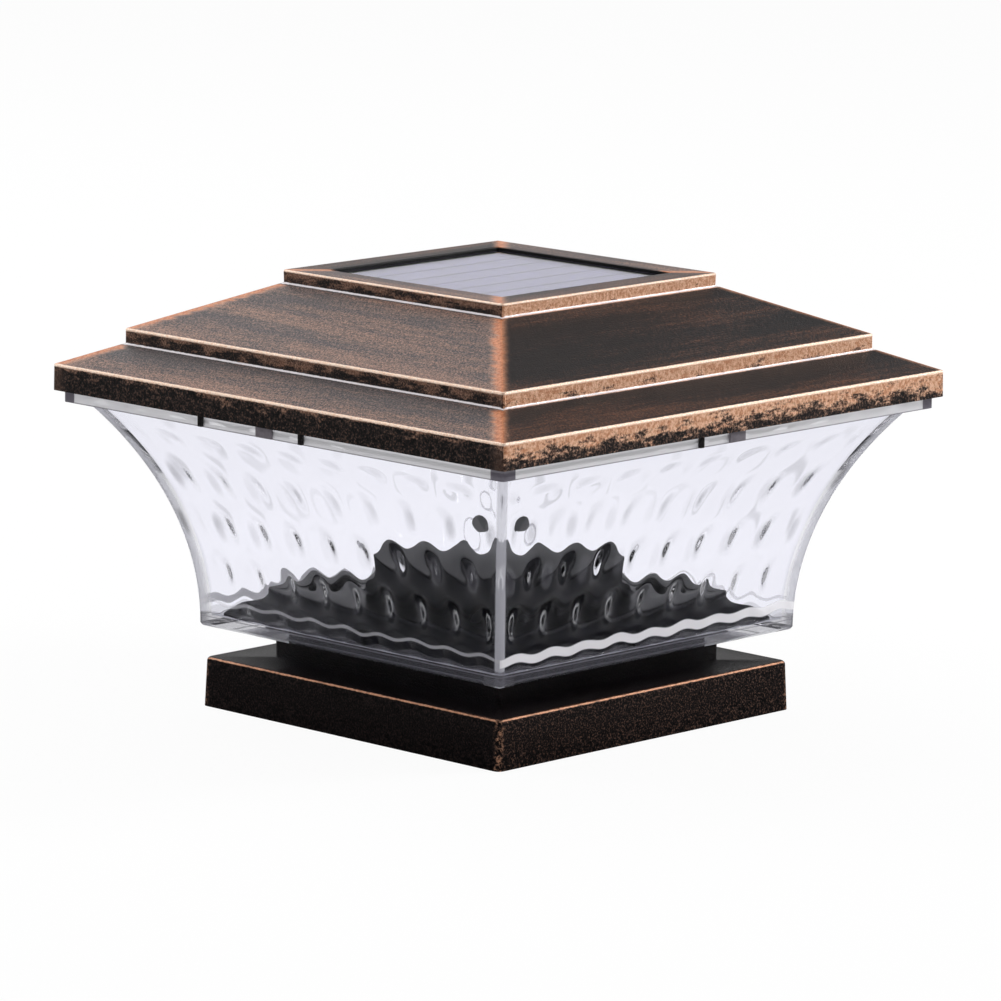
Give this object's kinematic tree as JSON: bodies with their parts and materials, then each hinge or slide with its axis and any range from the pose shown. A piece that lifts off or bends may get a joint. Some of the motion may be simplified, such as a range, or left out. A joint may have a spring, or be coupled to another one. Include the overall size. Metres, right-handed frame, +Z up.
{
  "type": "solar post light",
  "caption": "Square solar light that caps a post: stepped hip roof with a solar panel, flared clear relief shade, black pedestal and socketed base.",
  "frame": {"origin": "centre of the base's bottom rim, on the ground plane", "axes": "+Z up along the lamp's axis; X and Y square to its four faces"},
  "size_m": [0.15, 0.15, 0.1063],
  "materials": {
    "antique_copper": "black paint with dry-brushed antique copper",
    "black_plastic": "satin",
    "clear_plastic": "clear, moulded relief inside",
    "solar_cell": "dark blue-grey silicon",
    "panel_resin": "clear resin",
    "grey_sealant": "matt",
    "circuit_board": "satin solder mask",
    "white_board": "white solder mask",
    "zinc_steel": "zinc plated",
    "nickel_strip": "nickel plated",
    "bright_plating": "vacuum plated",
    "led_phosphor": "yellow phosphor gel",
    "frosted_lens": "frosted",
    "battery_sleeve": "shrink sleeve",
    "chip_black": "moulded epoxy",
    "copper_winding": "enamelled wire",
    "capacitor_sleeve": "shrink sleeve",
    "red_lead": "insulated wire",
    "black_lead": "insulated wire"
  },
  "bodies": {
    "lamp": {"base": "antique_copper", "pedestal": "black_plastic", "pedestal_screws": "zinc_steel", "shade": "clear_plastic"},
    "roof": {"roof_shell": "antique_copper", "panel_board": "circuit_board", "solar_cells": "solar_cell", "panel_resin": "panel_resin", "panel_sealant": "grey_sealant", "lamp_plate": "black_plastic", "lamp_plate_screws": "zinc_steel", "reflector": "bright_plating", "led_board": "white_board", "leds": "led_phosphor", "led_lens": "frosted_lens", "battery_door": "black_plastic", "battery_door_screws": "zinc_steel", "battery": "battery_sleeve", "battery_contacts": "nickel_strip", "battery_spring": "nickel_strip", "control_board": "circuit_board", "board_screws": "zinc_steel", "control_chip": "chip_black", "inductor": "copper_winding", "capacitor": "capacitor_sleeve", "switch_body": "nickel_strip", "panel_lead_red": "red_lead", "panel_lead_black": "black_lead", "battery_lead_red": "red_lead", "battery_lead_black": "black_lead", "led_lead_red": "red_lead", "led_lead_black": "black_lead"},
    "switch": {"switch_slider": "black_plastic"}
  },
  "joints": [
    {"name": "roof_lift", "type": "slide", "parent": "lamp", "child": "roof", "axis": [0, 0, 1], "range_m": [0, 0.06]},
    {"name": "switch_slide", "type": "slide", "parent": "roof", "child": "switch", "axis": [1, 0, 0], "range_m": [0, 0.004]}
  ]
}
